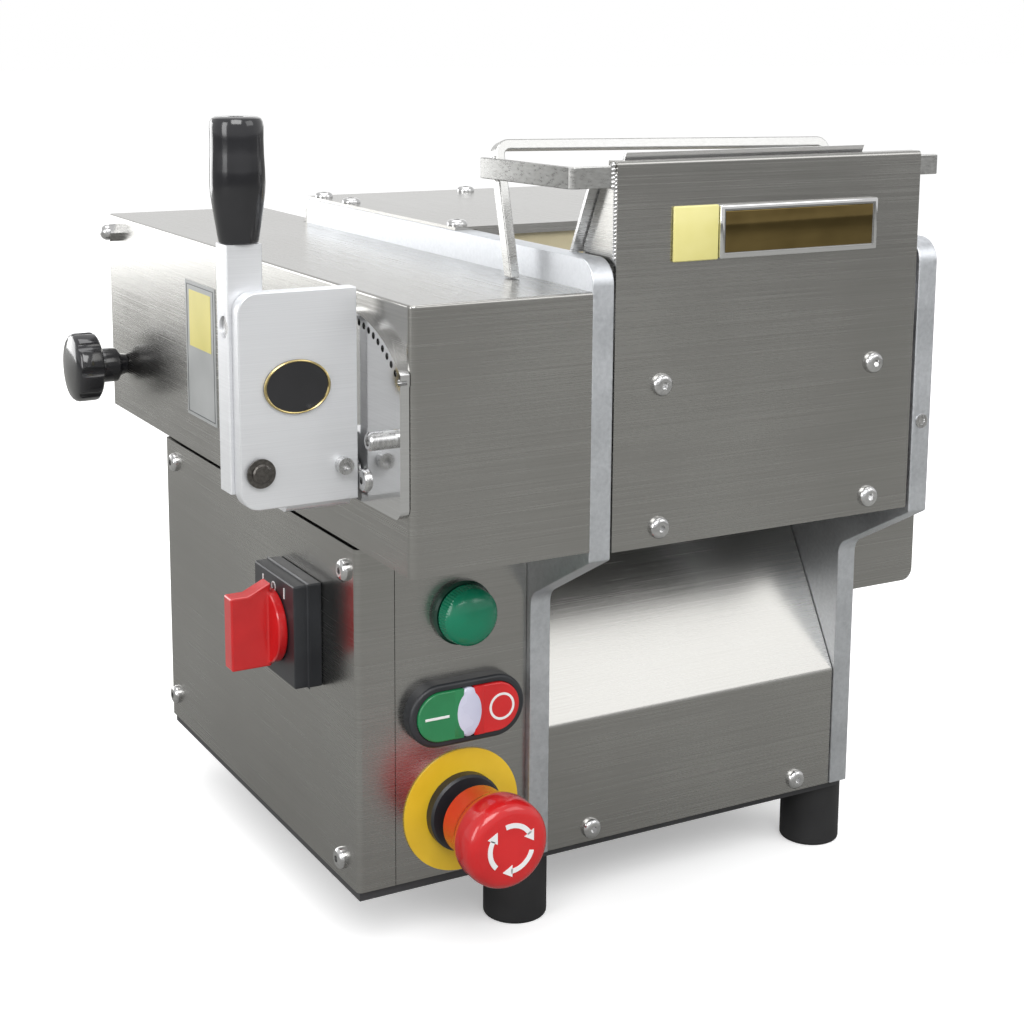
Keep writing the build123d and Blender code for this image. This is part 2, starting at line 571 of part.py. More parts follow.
def belt_outline(offset):
    """The outline of an open loop round both sprockets, at a distance outside their pitch circles."""
    r1, r2 = DRIVEN_R + offset, DRIVE_R + offset
    big = Pos(FIXED_Y, ROLLER_Z) * Circle(r1)
    small = Pos(DRIVE_Y, DRIVE_Z) * Circle(r2)
    return make_hull(big.edges() + small.edges())


def drive_chain():
    """The roller chain as one closed band that stands clear of both sprockets."""
    ring = belt_outline(6.5) - belt_outline(2.6)
    band = extrude(ring, amount=5.0)
    turn = Plane(origin=(CHAIN_X - 2.5, 0, 0), x_dir=(0, 1, 0), z_dir=(1, 0, 0))
    return turn * band


def gearbox():
    box = block(0.3, 78, 90, 160, 72, 152)
    box = fillet(box.edges().filter_by(Axis.Y), 10)
    box = chamfer(box.faces().sort_by(Axis.Y)[0].edges(), 2)
    return box - rod_x(-5, 20, DRIVE_Y, DRIVE_Z, 9.3)


def motor():
    body = rod_y(58, 160.2, 262, DRIVE_Z, 46)
    for number in range(24):
        fin = block(45, 49.5, 168, 250, -1.0, 1.0)
        body += Pos(58, 0, DRIVE_Z) * Rot(0, number * 15, 0) * fin
    cowl = rod_y(58, 262, 292, DRIVE_Z, 49)
    cowl = fillet(cowl.edges().sort_by(Axis.Y)[-1], 8)
    terminal_box = block(78, 118, 185, 235, 118, 148)
    return body + cowl + terminal_box


# ---- controls ----
def switch_plate():
    left = CASE_LEFT - 0.4
    rear = block(left - 6.4, left, SWITCH_Y - 24, SWITCH_Y + 24, SWITCH_Z - 24, SWITCH_Z + 24)
    front = block(left - 13.2, left - 6.4, SWITCH_Y - 23.7, SWITCH_Y + 23.7, SWITCH_Z - 23.7, SWITCH_Z + 23.7)
    plate = rear + front
    return plate - rod_x(left - 20, left + 5, SWITCH_Y, SWITCH_Z, 4.2)


def switch_handle():
    face = CASE_LEFT - 0.4 - 13.4
    disc = rod_x(face - 4.5, face, SWITCH_Y, SWITCH_Z, 17)
    blade = block(face - 22, face - 3, SWITCH_Y - 4.6, SWITCH_Y + 4.6, SWITCH_Z - 18, SWITCH_Z + 16)
    pointer = [(face - 3, SWITCH_Z + 14), (face - 3, SWITCH_Z + 21), (face - 14, SWITCH_Z + 15.8), (face - 14, SWITCH_Z + 14)]
    nose = front_profile(pointer, SWITCH_Y - 4.6, SWITCH_Y + 4.6)
    spindle = rod_x(face - 3, face + 18, SWITCH_Y, SWITCH_Z, 4.1)
    return disc + blade + nose + spindle


def switch_body():
    left = CASE_LEFT - 0.4 + SHEET + 0.2
    body = block(left, left + 29, SWITCH_Y - 21, SWITCH_Y + 21, SWITCH_Z - 21, SWITCH_Z + 21)
    return body - rod_x(left - 1, left + 12, SWITCH_Y, SWITCH_Z, 4.3)


def lamp_bezel():
    ring = rod_y(CONTROL_X, PANEL_Y - 3.2, PANEL_Y, LAMP_Z, 14.6)
    ring = chamfer(ring.edges().sort_by(Axis.Y)[0], 1.0)
    neck = rod_y(CONTROL_X, PANEL_Y, PANEL_Y + 12, LAMP_Z, 11.0)
    return ring + neck - rod_y(CONTROL_X, PANEL_Y - 5, PANEL_Y - 1.0, LAMP_Z, 12.4)


def lamp_lens():
    base = PANEL_Y - 1.0
    profile = [(0, 0), (0, 12.2), (2.6, 12.2), (3.2, 13.4), (9.0, 12.8), (11.5, 10.4), (13.2, 5.8), (13.8, 0)]
    lens = turned(profile, 0, 1)
    return Pos(CONTROL_X, base, LAMP_Z) * Rot(0, 0, -90) * lens


def oval(y0, y1, width, height):
    """An upright slab with round ends, on the panel's button axis."""
    face = Plane(origin=(CONTROL_X, y0, BUTTON_Z), z_dir=(0, 1, 0), x_dir=(1, 0, 0))
    return extrude(face * SlotOverall(width, height), amount=y1 - y0)


def button_bezel():
    bezel = oval(PANEL_Y - 7.0, PANEL_Y, 57.0, 29.0)
    bezel = fillet(bezel.edges().group_by(Axis.Y)[0], 1.6)
    bezel -= oval(PANEL_Y - 8.0, PANEL_Y - BEZEL_FLOOR, 51.0, 23.4)
    return bezel + rod_y(CONTROL_X, PANEL_Y, PANEL_Y + 12, BUTTON_Z, 11.0)


def button_cap(side):
    """One end of the oval, left for start (-1) or right for stop (+1)."""
    cap = oval(PANEL_Y - 8.2, PANEL_Y - 3.2, 50.4, 22.8)
    cap = fillet(cap.edges().group_by(Axis.Y)[0], 0.8)
    cut = block(CONTROL_X - 40, CONTROL_X + 7.2, 30, 60, BUTTON_Z - 20, BUTTON_Z + 20)
    if side < 0:
        cut = block(CONTROL_X - 7.2, CONTROL_X + 40, 30, 60, BUTTON_Z - 20, BUTTON_Z + 20)
    return cap - cut


def white_lens():
    lens = oval(PANEL_Y - 7.8, PANEL_Y - BEZEL_FLOOR, 50.4, 22.8)
    return lens & block(CONTROL_X - 6.8, CONTROL_X + 6.8, 30, 60, BUTTON_Z - 20, BUTTON_Z + 20)


def e_stop_ring():
    ring = rod_y(CONTROL_X, PANEL_Y - 1.0, PANEL_Y, STOP_Z, 28.5)
    return ring - rod_y(CONTROL_X, PANEL_Y - 3, PANEL_Y + 1, STOP_Z, 11.2)


def e_stop_collar():
    collar = rod_y(CONTROL_X, PANEL_Y - 7.0, PANEL_Y - 1.0, STOP_Z, 15.0)
    collar = chamfer(collar.edges().sort_by(Axis.Y)[0], 1.0)
    collar += rod_y(CONTROL_X, PANEL_Y - 1.0, PANEL_Y + 14, STOP_Z, 11.0)
    return collar - rod_y(CONTROL_X, PANEL_Y - 10, PANEL_Y + 20, STOP_Z, 7.3)


def e_stop_stem():
    return rod_y(CONTROL_X, PANEL_Y - 12.0, PANEL_Y + 12, STOP_Z, 7.0)


def e_stop_button():
    """The mushroom: a base cylinder and a wider head with a rounded rim."""
    base = PANEL_Y - 13.0
    profile = [(0, 0), (0, 13.0), (11.0, 13.0), (12.0, 18.0), (15.0, 20.0), (27.0, 20.0), (31.0, 18.4),
               (33.0, 15.0), (33.6, 0)]
    button = turned(profile, 0, 1)
    return Pos(CONTROL_X, base, STOP_Z) * Rot(0, 0, -90) * button


def contact_blocks():
    blocks = []
    for z in (LAMP_Z, BUTTON_Z):
        blocks.append(block(CONTROL_X - 15, CONTROL_X + 15, PANEL_Y + 12, PANEL_Y + 38, z - 15, z + 15))
    blocks.append(block(CONTROL_X - 15, CONTROL_X + 15, PANEL_Y + 20, PANEL_Y + 46, STOP_Z - 15, STOP_Z + 15))
    blocks[-1] += block(CONTROL_X - 15, CONTROL_X + 15, PANEL_Y + 14, PANEL_Y + 20, STOP_Z + 11.5, STOP_Z + 15)
    return group(blocks)


# ---- small outside pieces ----
def warning_label():
    return block(CASE_LEFT - 0.4, CASE_LEFT, 219, 262, 213.5, 283.5)


def lock_knob():
    """An eight-lobed clamping knob on a stud, axis along X."""
    profile = [(0.3, 0), (0.3, 5.5), (4.0, 6.5), (6.0, 9.6), (15.0, 9.6), (17.5, 8.6), (17.5, 18.0), (19.0, 19.0),
               (29.5, 19.0), (31.5, 17.4), (33.0, 0)]
    knob = turned(profile, 0, -1)
    for number in range(8):
        angle = radians(22.5 + number * 45)
        knob -= rod_x(-40, -17.2, 21.4 * cos(angle), 21.4 * sin(angle), 4.2)
    stud = rod_x(-1, 26, 0, 0, 3.0)
    return Pos(CASE_LEFT, KNOB_Y, KNOB_Z) * (knob + stud)


def cap_nut():
    hexagon = Plane(origin=(CASE_LEFT, 378, 296), z_dir=(-1, 0, 0), x_dir=(0, 1, 0))
    nut = extrude(hexagon * RegularPolygon(5.6, 6), amount=5)
    dome = Pos(CASE_LEFT - 5, 378, 296) * Sphere(4.4)
    stud = rod_x(CASE_LEFT, CASE_LEFT + 12, 378, 296, 3.0)
    return nut + (dome & block(CASE_LEFT - 12, CASE_LEFT - 5, 370, 390, 290, 310)) + stud


def cover_screws():
    screws = [Pos(*p) * dome_screw("-X", 5) for p in COVER_SCREWS]
    screws += [Pos(*p) * dome_screw("-X", 7, LOW_HEAD_H) for p in SECTOR_SCREWS]
    screws += [Pos(*p) * dome_screw("-Y", 6) for p in CHUTE_SCREWS]
    screws += [Pos(*p) * dome_screw("+Z", 8) for p in TOP_SCREWS]
    screws += [Pos(*p) * dome_screw("+Y", 8) for p in REAR_SCREWS]
    screws += [Pos(*p) * dome_screw("+X", 6) for p in RIGHT_SCREWS]
    screws.append(cap_nut())
    screws.append(rod_y(INNER_W + PLATE_T / 2, 0.1, 7, EDGE_SCREW_Z, 1.55))
    return group(screws)


def cable_gland():
    y = PLATE_BACK + SHEET
    nut = Plane(origin=(GLAND_X, y, GLAND_Z), z_dir=(0, 1, 0), x_dir=(1, 0, 0)) * RegularPolygon(12.5, 6)
    gland = extrude(nut, amount=6)
    cap = rod_y(GLAND_X, y + 6, y + 18, GLAND_Z, 10.5)
    cap = fillet(cap.edges().sort_by(Axis.Y)[-1], 2.5)
    thread = rod_y(GLAND_X, y - 9, y, GLAND_Z, 8.0)
    return gland + cap + thread - rod_y(GLAND_X, y - 12, y + 22, GLAND_Z, 4.0)


STOP_Y, STOP_PIN_Z = 5.6, 251.5
PLUNGER_Y, PLUNGER_Z = LEVER_Y, LEVER_Z + INDEX_R
BRACKET_SCREW_PLACES = [(-107.0, 235.5)]
GLAND_X, GLAND_Z = 130.0, 62.0
EDGE_SCREW_Z = 233.0
BEZEL_FLOOR = 0.6         # leaves the keys room to be pressed

NODES = {
    "left_side_plate": lambda: side_plate(-PLATE_T, True),
    "right_side_plate": lambda: side_plate(INNER_W, False),
    "base_tray": base_tray, "rubber_feet": rubber_feet, "tie_rods": tie_rods,
    "drive_casing": drive_casing, "lower_left_cover": lower_left_cover, "control_panel": control_panel,
    "right_end_cover": right_end_cover, "outfeed_chute": outfeed_chute, "rear_cover": rear_cover,
    "top_rear_cover": top_rear_cover, "infeed_apron": infeed_apron,
    "hopper_guard": hopper_guard, "hopper_sheet": hopper_sheet, "guard_bar": guard_bar,
    "lift_handle": lift_handle, "guard_screws": guard_screws, "guard_badges": guard_badges,
    "cross_shaft": cross_shaft, "roller_cams": roller_cams, "lever_hub": lever_hub,
    "lever_bracket": lever_bracket, "lever_bar": lever_bar, "lever_grip": lever_grip, "tilt_pin": tilt_pin,
    "index_plunger": index_plunger, "bracket_screws": bracket_screws, "index_sector": index_sector,
    "stop_pin": stop_pin, "bracket_badge": bracket_badge,
    "adjustable_roller": adjustable_roller, "bearing_blocks": bearing_blocks,
    "adjustable_gear": adjustable_gear, "fixed_roller": fixed_roller, "fixed_gear": fixed_gear,
    "fixed_bushes": fixed_bushes, "driven_sprocket": driven_sprocket, "drive_sprocket": drive_sprocket,
    "drive_chain": drive_chain, "motor": motor, "gearbox": gearbox,
    "switch_plate": switch_plate, "switch_handle": switch_handle, "switch_body": switch_body,
    "lamp_bezel": lamp_bezel, "lamp_lens": lamp_lens, "button_bezel": button_bezel,
    "green_button": lambda: button_cap(-1), "red_button": lambda: button_cap(1), "white_lens": white_lens,
    "e_stop_ring": e_stop_ring, "e_stop_collar": e_stop_collar, "e_stop_stem": e_stop_stem,
    "e_stop_button": e_stop_button, "contact_blocks": contact_blocks,
    "warning_label": warning_label, "lock_knob": lock_knob,
    "cover_screws": cover_screws, "cable_gland": cable_gland,
}

shapes = {name: make() for name, make in NODES.items()}
boxes = [shape.bounding_box() for shape in shapes.values()]
low_x, high_x = min(b.min.X for b in boxes), max(b.max.X for b in boxes)
low_y, high_y = min(b.min.Y for b in boxes), max(b.max.Y for b in boxes)
SHIFT = (-(low_x + high_x) / 2, -(low_y + high_y) / 2, 0)
print("origin shift", SHIFT)
for name, shape in shapes.items():
    export_step(Pos(*SHIFT) * shape, f"parts/{name}.step")
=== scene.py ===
from math import atan2, cos, degrees, radians, sin

import bpy
from mathutils import Matrix, Vector


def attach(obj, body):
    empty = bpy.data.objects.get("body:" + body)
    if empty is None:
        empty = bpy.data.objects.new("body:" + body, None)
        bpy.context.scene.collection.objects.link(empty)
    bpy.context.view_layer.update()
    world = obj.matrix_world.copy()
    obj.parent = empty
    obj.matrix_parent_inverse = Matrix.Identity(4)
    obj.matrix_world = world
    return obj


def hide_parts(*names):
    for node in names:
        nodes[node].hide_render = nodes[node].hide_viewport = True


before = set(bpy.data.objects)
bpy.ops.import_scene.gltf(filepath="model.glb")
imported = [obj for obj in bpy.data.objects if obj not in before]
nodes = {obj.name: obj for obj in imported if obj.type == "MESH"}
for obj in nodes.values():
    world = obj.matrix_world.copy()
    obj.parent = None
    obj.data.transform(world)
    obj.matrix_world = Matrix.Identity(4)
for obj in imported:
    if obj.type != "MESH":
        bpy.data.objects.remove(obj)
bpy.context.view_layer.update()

bpy.ops.object.select_all(action="DESELECT")


# ---------------------------------------------------------------- side plates and tie rods
# Two thick aluminium plates carry everything. They are milled all round and glass-bead blasted,
# so they are pale and almost matt, with faint mottling.
def new_material(name):
    """A material with an empty Principled shader, and shorthands to add and join its nodes."""
    material = bpy.data.materials.new(name)
    material.use_nodes = True
    return material, material.node_tree.nodes["Principled BSDF"]


def add_node(tree, kind, **settings):
    node = tree.nodes.new(kind)
    for key, value in settings.items():
        if key in node.inputs:
            node.inputs[key].default_value = value
        else:
            setattr(node, key, value)
    return node


def build_group(name, inputs, outputs):
    """An empty shader group with float, colour or vector sockets."""
    group = bpy.data.node_groups.new(name, "ShaderNodeTree")
    for label, kind, value in inputs:
        socket = group.interface.new_socket(label, in_out="INPUT", socket_type=kind)
        if value is not None:
            socket.default_value = value
    for label, kind in outputs:
        group.interface.new_socket(label, in_out="OUTPUT", socket_type=kind)
    return group, group.nodes.new("NodeGroupInput"), group.nodes.new("NodeGroupOutput")


# The brushed grain: fine parallel scratches that run level on upright faces and front to back on top faces,
# with broad, soft clouds of handling marks over them.
grain, g_in, g_out = build_group(
    "brushed_grain",
    [("Along", "NodeSocketFloat", 6.0), ("Across", "NodeSocketFloat", 1400.0), ("Clouds", "NodeSocketFloat", 9.0)],
    [("Scratches", "NodeSocketFloat"), ("Clouds", "NodeSocketFloat")])
coords = add_node(grain, "ShaderNodeTexCoord")
axes = add_node(grain, "ShaderNodeSeparateXYZ")
facing = add_node(grain, "ShaderNodeSeparateXYZ")
grain.links.new(coords.outputs["Object"], axes.inputs[0])
grain.links.new(coords.outputs["Normal"], facing.inputs[0])
up = add_node(grain, "ShaderNodeMath", operation="ABSOLUTE")
grain.links.new(facing.outputs["Z"], up.inputs[0])
is_top = add_node(grain, "ShaderNodeMath", operation="GREATER_THAN")
grain.links.new(up.outputs[0], is_top.inputs[0])
is_top.inputs[1].default_value = 0.8
stretched = []
for fast in ("Z", "X"):
    scaled = []
    for axis in "XYZ":
        multiply = add_node(grain, "ShaderNodeMath", operation="MULTIPLY")
        grain.links.new(axes.outputs[axis], multiply.inputs[0])
        grain.links.new(g_in.outputs["Across" if axis == fast else "Along"], multiply.inputs[1])
        scaled.append(multiply)
    joined = add_node(grain, "ShaderNodeCombineXYZ")
    for index in range(3):
        grain.links.new(scaled[index].outputs[0], joined.inputs[index])
    stretched.append(joined)
choose = add_node(grain, "ShaderNodeMix", data_type="VECTOR")
grain.links.new(is_top.outputs[0], choose.inputs["Factor"])
grain.links.new(stretched[0].outputs[0], choose.inputs[4])
grain.links.new(stretched[1].outputs[0], choose.inputs[5])
scratch = add_node(grain, "ShaderNodeTexNoise", Scale=1.0, Detail=4.0, Roughness=0.6)
grain.links.new(choose.outputs[1], scratch.inputs["Vector"])
grain.links.new(scratch.outputs["Fac"], g_out.inputs["Scratches"])
cloud = add_node(grain, "ShaderNodeTexNoise", Detail=3.0, Roughness=0.55)
grain.links.new(coords.outputs["Object"], cloud.inputs["Vector"])
grain.links.new(g_in.outputs["Clouds"], cloud.inputs["Scale"])
grain.links.new(cloud.outputs["Fac"], g_out.inputs["Clouds"])


def metal(name, dark, light, smooth, rough, along=6.0, across=1400.0, clouds=9.0, bump=0.06, metallic=1.0):
    """A brushed or blasted metal: its colour and gloss follow the scratches and the clouds."""
    material, shader = new_material(name)
    tree = material.node_tree
    brushed = add_node(tree, "ShaderNodeGroup", node_tree=grain)
    brushed.inputs["Along"].default_value = along
    brushed.inputs["Across"].default_value = across
    brushed.inputs["Clouds"].default_value = clouds
    both = add_node(tree, "ShaderNodeMath", operation="ADD", use_clamp=True)
    half = add_node(tree, "ShaderNodeMath", operation="MULTIPLY_ADD")
    tree.links.new(brushed.outputs["Clouds"], half.inputs[0])
    half.inputs[1].default_value, half.inputs[2].default_value = 0.8, -0.4
    tree.links.new(brushed.outputs["Scratches"], both.inputs[0])
    tree.links.new(half.outputs[0], both.inputs[1])
    tint = add_node(tree, "ShaderNodeValToRGB")
    tint.color_ramp.elements[0].position, tint.color_ramp.elements[1].position = 0.25, 0.75
    tint.color_ramp.elements[0].color = (*dark, 1)
    tint.color_ramp.elements[1].color = (*light, 1)
    tree.links.new(both.outputs[0], tint.inputs["Fac"])
    tree.links.new(tint.outputs["Color"], shader.inputs["Base Color"])
    gloss = add_node(tree, "ShaderNodeMapRange")
    gloss.inputs["From Min"].default_value, gloss.inputs["From Max"].default_value = 0.25, 0.75
    gloss.inputs["To Min"].default_value, gloss.inputs["To Max"].default_value = smooth, rough
    tree.links.new(both.outputs[0], gloss.inputs["Value"])
    tree.links.new(gloss.outputs["Result"], shader.inputs["Roughness"])
    relief = add_node(tree, "ShaderNodeBump", Strength=bump, Distance=0.0004)
    tree.links.new(brushed.outputs["Scratches"], relief.inputs["Height"])
    tree.links.new(relief.outputs["Normal"], shader.inputs["Normal"])
    shader.inputs["Metallic"].default_value = metallic
    return material


def dress(material, *names):
    """Gives the named CAD pieces their finish."""
    for name in names:
        slots = nodes[name].data.materials
        if not slots:
            slots.append(material)
        for index in range(len(slots)):
            slots[index] = material


def finish_piece(piece, name, material, body, angle=30):
    """Names a finished mesh, settles its place, gives it its finish and fixes it to its CAD body."""
    if bpy.context.mode != "OBJECT":
        bpy.ops.object.mode_set(mode="OBJECT")
    bpy.ops.object.select_all(action="DESELECT")
    piece.select_set(True)
    bpy.context.view_layer.objects.active = piece
    bpy.ops.object.transform_apply(location=True, rotation=True, scale=True)
    bpy.ops.object.mode_set(mode="EDIT")
    bpy.ops.mesh.select_all(action="SELECT")
    bpy.ops.mesh.normals_make_consistent(inside=False)
    bpy.ops.object.mode_set(mode="OBJECT")
    bpy.ops.object.shade_smooth_by_angle(angle=radians(angle))
    piece.name = name
    piece.data.materials.clear()
    piece.data.materials.append(material)
    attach(piece, body)
    bpy.ops.object.select_all(action="DESELECT")
    return piece


def eased(node, body, material, width):
    """A copy of a CAD piece with its sharp edges eased, as a maker breaks them with a file."""
    bpy.ops.object.select_all(action="DESELECT")
    piece = nodes[node].copy()
    piece.data = nodes[node].data.copy()
    piece.parent = None
    bpy.context.scene.collection.objects.link(piece)
    piece.select_set(True)
    bpy.context.view_layer.objects.active = piece
    bpy.ops.object.mode_set(mode="EDIT")
    bpy.ops.mesh.select_all(action="SELECT")
    bpy.ops.mesh.remove_doubles(threshold=0.00001)
    bpy.ops.mesh.dissolve_limited(angle_limit=radians(0.5))
    bpy.ops.object.mode_set(mode="OBJECT")
    bevel = piece.modifiers.new("eased_edges", "BEVEL")
    bevel.width, bevel.segments, bevel.limit_method = width / 1000, 2, "ANGLE"
    bevel.angle_limit = radians(40)
    bevel.use_clamp_overlap = False
    bpy.ops.object.modifier_apply(modifier=bevel.name)
    finish_piece(piece, node + "_eased", material, body, 22)
    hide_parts(node)
    return piece


def spot(x, y, z):
    """A point measured in mm from the left plate's inner face, the plates' front edge and the table."""
    return Vector(((x - 34.5) / 1000, (y - 196.05) / 1000, z / 1000))


def lathe(rings, place, turn=(0, 0, 0), sides=64):
    """A turned piece: a disc drawn out ring by ring, each ring given as (distance, radius) in mm."""
    bpy.ops.object.select_all(action="DESELECT")
    start, radius = rings[0]
    bpy.ops.mesh.primitive_circle_add(vertices=sides, radius=radius / 1000, fill_type="NGON",
                                      location=(0, 0, start / 1000))
    piece = bpy.context.object
    bpy.ops.object.transform_apply(location=True)
    bpy.ops.object.mode_set(mode="EDIT")
    bpy.ops.mesh.select_all(action="SELECT")
    for distance, new_radius in rings[1:]:
        bpy.ops.mesh.extrude_region_move(TRANSFORM_OT_translate={"value": (0, 0, (distance - start) / 1000)})
        bpy.ops.transform.resize(value=(new_radius / radius, new_radius / radius, 1),
                                 center_override=(0, 0, distance / 1000))
        start, radius = distance, new_radius
    bpy.ops.object.mode_set(mode="OBJECT")
    piece.rotation_euler = [radians(a) for a in turn]
    piece.location = place
    return piece


def slab(low, high, rounding=0.0, segments=3):
    """A block between two corners in mm, its edges rounded by a bevel."""
    bpy.ops.object.select_all(action="DESELECT")
    a, b = spot(*low), spot(*high)
    bpy.ops.mesh.primitive_cube_add(size=1, location=(a + b) / 2)
    piece = bpy.context.object
    piece.scale = b - a
    bpy.ops.object.transform_apply(location=True, rotation=True, scale=True)
    if rounding:
        bpy.ops.object.mode_set(mode="EDIT")
        bpy.ops.mesh.select_all(action="SELECT")
        bpy.ops.mesh.bevel(offset=rounding / 1000, segments=segments, affect="EDGES")
        bpy.ops.object.mode_set(mode="OBJECT")
    return piece


plate_metal = metal("blasted_aluminium", (0.58, 0.60, 0.63), (0.72, 0.74, 0.77), 0.36, 0.52,
                    along=500.0, across=500.0, clouds=30.0, bump=0.05)
dress(plate_metal, "left_side_plate", "right_side_plate")
eased("left_side_plate", "frame", plate_metal, 0.5)
eased("right_side_plate", "frame", plate_metal, 0.5)
turned_steel = metal("turned_steel", (0.40, 0.40, 0.40), (0.66, 0.66, 0.66), 0.18, 0.34, along=900.0,
                     across=200.0, clouds=60.0, bump=0.03)
dress(turned_steel, "tie_rods", "cross_shaft", "roller_cams", "stop_pin", "index_plunger",
      "drive_sprocket", "driven_sprocket", "drive_chain", "adjustable_gear", "fixed_gear",
      "bracket_screws")
dark_pin = metal("dark_pin", (0.07, 0.065, 0.06), (0.17, 0.16, 0.15), 0.25, 0.4, along=700.0, across=700.0, bump=0.05)
dress(dark_pin, "tilt_pin")
plate_screw = finish_piece(lathe([(-0.3, 3.4), (0.35, 3.4), (0.45, 3.1), (0.45, 1.7), (-0.2, 1.4)],
                                 spot(169.8, 0, 233), (90, 0, 0), 32),
                           "plate_screw", turned_steel, "frame")

# ---------------------------------------------------------------- stainless casings and covers
# All outside covers are folded from 1.5 mm stainless sheet, brushed in one direction and left bare.
stainless = metal("brushed_stainless", (0.345, 0.34, 0.325), (0.43, 0.425, 0.408), 0.20, 0.30, along=9.0,
                  across=2600.0, clouds=7.0, bump=0.03)
dress(stainless, "drive_casing", "lower_left_cover", "control_panel", "right_end_cover", "outfeed_chute",
      "rear_cover", "top_rear_cover", "hopper_guard")
# The hopper sheet gets a paler copy of the sheet steel as a painted highlight: the light from above on its incline is
# painted into its colour.
hopper_painted_sheen = metal("hopper_painted_sheen", (0.66, 0.66, 0.66), (0.78, 0.78, 0.78), 0.24, 0.34, bump=0.02, metallic=0.75)
dress(hopper_painted_sheen, "hopper_sheet")
bar_steel = metal("satin_bar", (0.42, 0.42, 0.41), (0.56, 0.56, 0.55), 0.24, 0.36, along=300.0, across=900.0, bump=0.04)
dress(bar_steel, "guard_bar", "lift_handle")
eased("guard_bar", "guard", bar_steel, 0.4)
eased("lift_handle", "guard", bar_steel, 0.5)
screw_steel = metal("screw_steel", (0.50, 0.50, 0.50), (0.72, 0.72, 0.72), 0.14, 0.26, along=700.0, across=700.0,
                    clouds=90.0, bump=0.02)
dress(screw_steel, "guard_screws", "cover_screws")
lever_metal = metal("satin_anodised", (0.70, 0.71, 0.73), (0.78, 0.79, 0.81), 0.34, 0.44, along=12.0, across=2400.0,
                    bump=0.015, metallic=0.55)
dress(lever_metal, "lever_hub", "lever_bracket", "lever_bar")
eased("lever_bracket", "gap_lever", lever_metal, 0.5)
mirror_steel = metal("polished_sector", (0.62, 0.62, 0.62), (0.72, 0.72, 0.72), 0.07, 0.14, bump=0.01)
dress(mirror_steel, "index_sector")
roller_steel = metal("ground_roller", (0.55, 0.55, 0.55), (0.70, 0.70, 0.70), 0.12, 0.22, along=1200.0, across=60.0,
                     bump=0.02)
dress(roller_steel, "adjustable_roller", "fixed_roller")
bronze = metal("bearing_bronze", (0.42, 0.27, 0.12), (0.60, 0.42, 0.20), 0.25, 0.40, along=300.0, across=700.0)
dress(bronze, "bearing_blocks", "fixed_bushes")

# ---------------------------------------------------------------- moulded plastics and rubber
# The controls, grips and feet are mouldings. Each has a fine skin texture and slightly uneven gloss.
skin, s_in, s_out = build_group(
    "moulded_skin", [("Size", "NodeSocketFloat", 900.0)],
    [("Height", "NodeSocketFloat"), ("Patches", "NodeSocketFloat")])
skin_coords = add_node(skin, "ShaderNodeTexCoord")
fine = add_node(skin, "ShaderNodeTexNoise", Detail=2.0)
skin.links.new(skin_coords.outputs["Object"], fine.inputs["Vector"])
skin.links.new(s_in.outputs["Size"], fine.inputs["Scale"])
skin.links.new(fine.outputs["Fac"], s_out.inputs["Height"])
broad = add_node(skin, "ShaderNodeTexNoise", Scale=40.0, Detail=3.0)
skin.links.new(skin_coords.outputs["Object"], broad.inputs["Vector"])
skin.links.new(broad.outputs["Fac"], s_out.inputs["Patches"])


def plastic(name, dark, light, smooth, rough, size=900.0, bump=0.05, coat=0.0):
    """A moulded plastic or rubber."""
    material, shader = new_material(name)
    tree = material.node_tree
    moulded = add_node(tree, "ShaderNodeGroup", node_tree=skin)
    moulded.inputs["Size"].default_value = size
    tint = add_node(tree, "ShaderNodeValToRGB")
    tint.color_ramp.elements[0].position, tint.color_ramp.elements[1].position = 0.3, 0.7
    tint.color_ramp.elements[0].color = (*dark, 1)
    tint.color_ramp.elements[1].color = (*light, 1)
    tree.links.new(moulded.outputs["Patches"], tint.inputs["Fac"])
    tree.links.new(tint.outputs["Color"], shader.inputs["Base Color"])
    gloss = add_node(tree, "ShaderNodeMapRange")
    gloss.inputs["From Min"].default_value, gloss.inputs["From Max"].default_value = 0.3, 0.7
    gloss.inputs["To Min"].default_value, gloss.inputs["To Max"].default_value = smooth, rough
    tree.links.new(moulded.outputs["Patches"], gloss.inputs["Value"])
    tree.links.new(gloss.outputs["Result"], shader.inputs["Roughness"])
    relief = add_node(tree, "ShaderNodeBump", Strength=bump, Distance=0.0002)
    tree.links.new(moulded.outputs["Height"], relief.inputs["Height"])
    tree.links.new(relief.outputs["Normal"], shader.inputs["Normal"])
    shader.inputs["Coat Weight"].default_value = coat
    shader.inputs["Coat Roughness"].default_value = 0.08
    return material


black_gloss = plastic("black_phenolic", (0.008, 0.008, 0.010), (0.016, 0.016, 0.019), 0.10, 0.18, bump=0.01, coat=0.5)
dress(black_gloss, "lever_grip", "lock_knob", "bracket_badge")
black_plastic = plastic("black_nylon", (0.012, 0.013, 0.016), (0.024, 0.026, 0.030), 0.34, 0.46, bump=0.08)
dress(black_plastic, "switch_plate", "switch_body", "button_bezel", "e_stop_collar", "e_stop_stem", "contact_blocks",
      "cable_gland")
rubber = plastic("foot_rubber", (0.010, 0.010, 0.011), (0.020, 0.020, 0.021), 0.55, 0.7, size=600.0, bump=0.15)
dress(rubber, "rubber_feet")
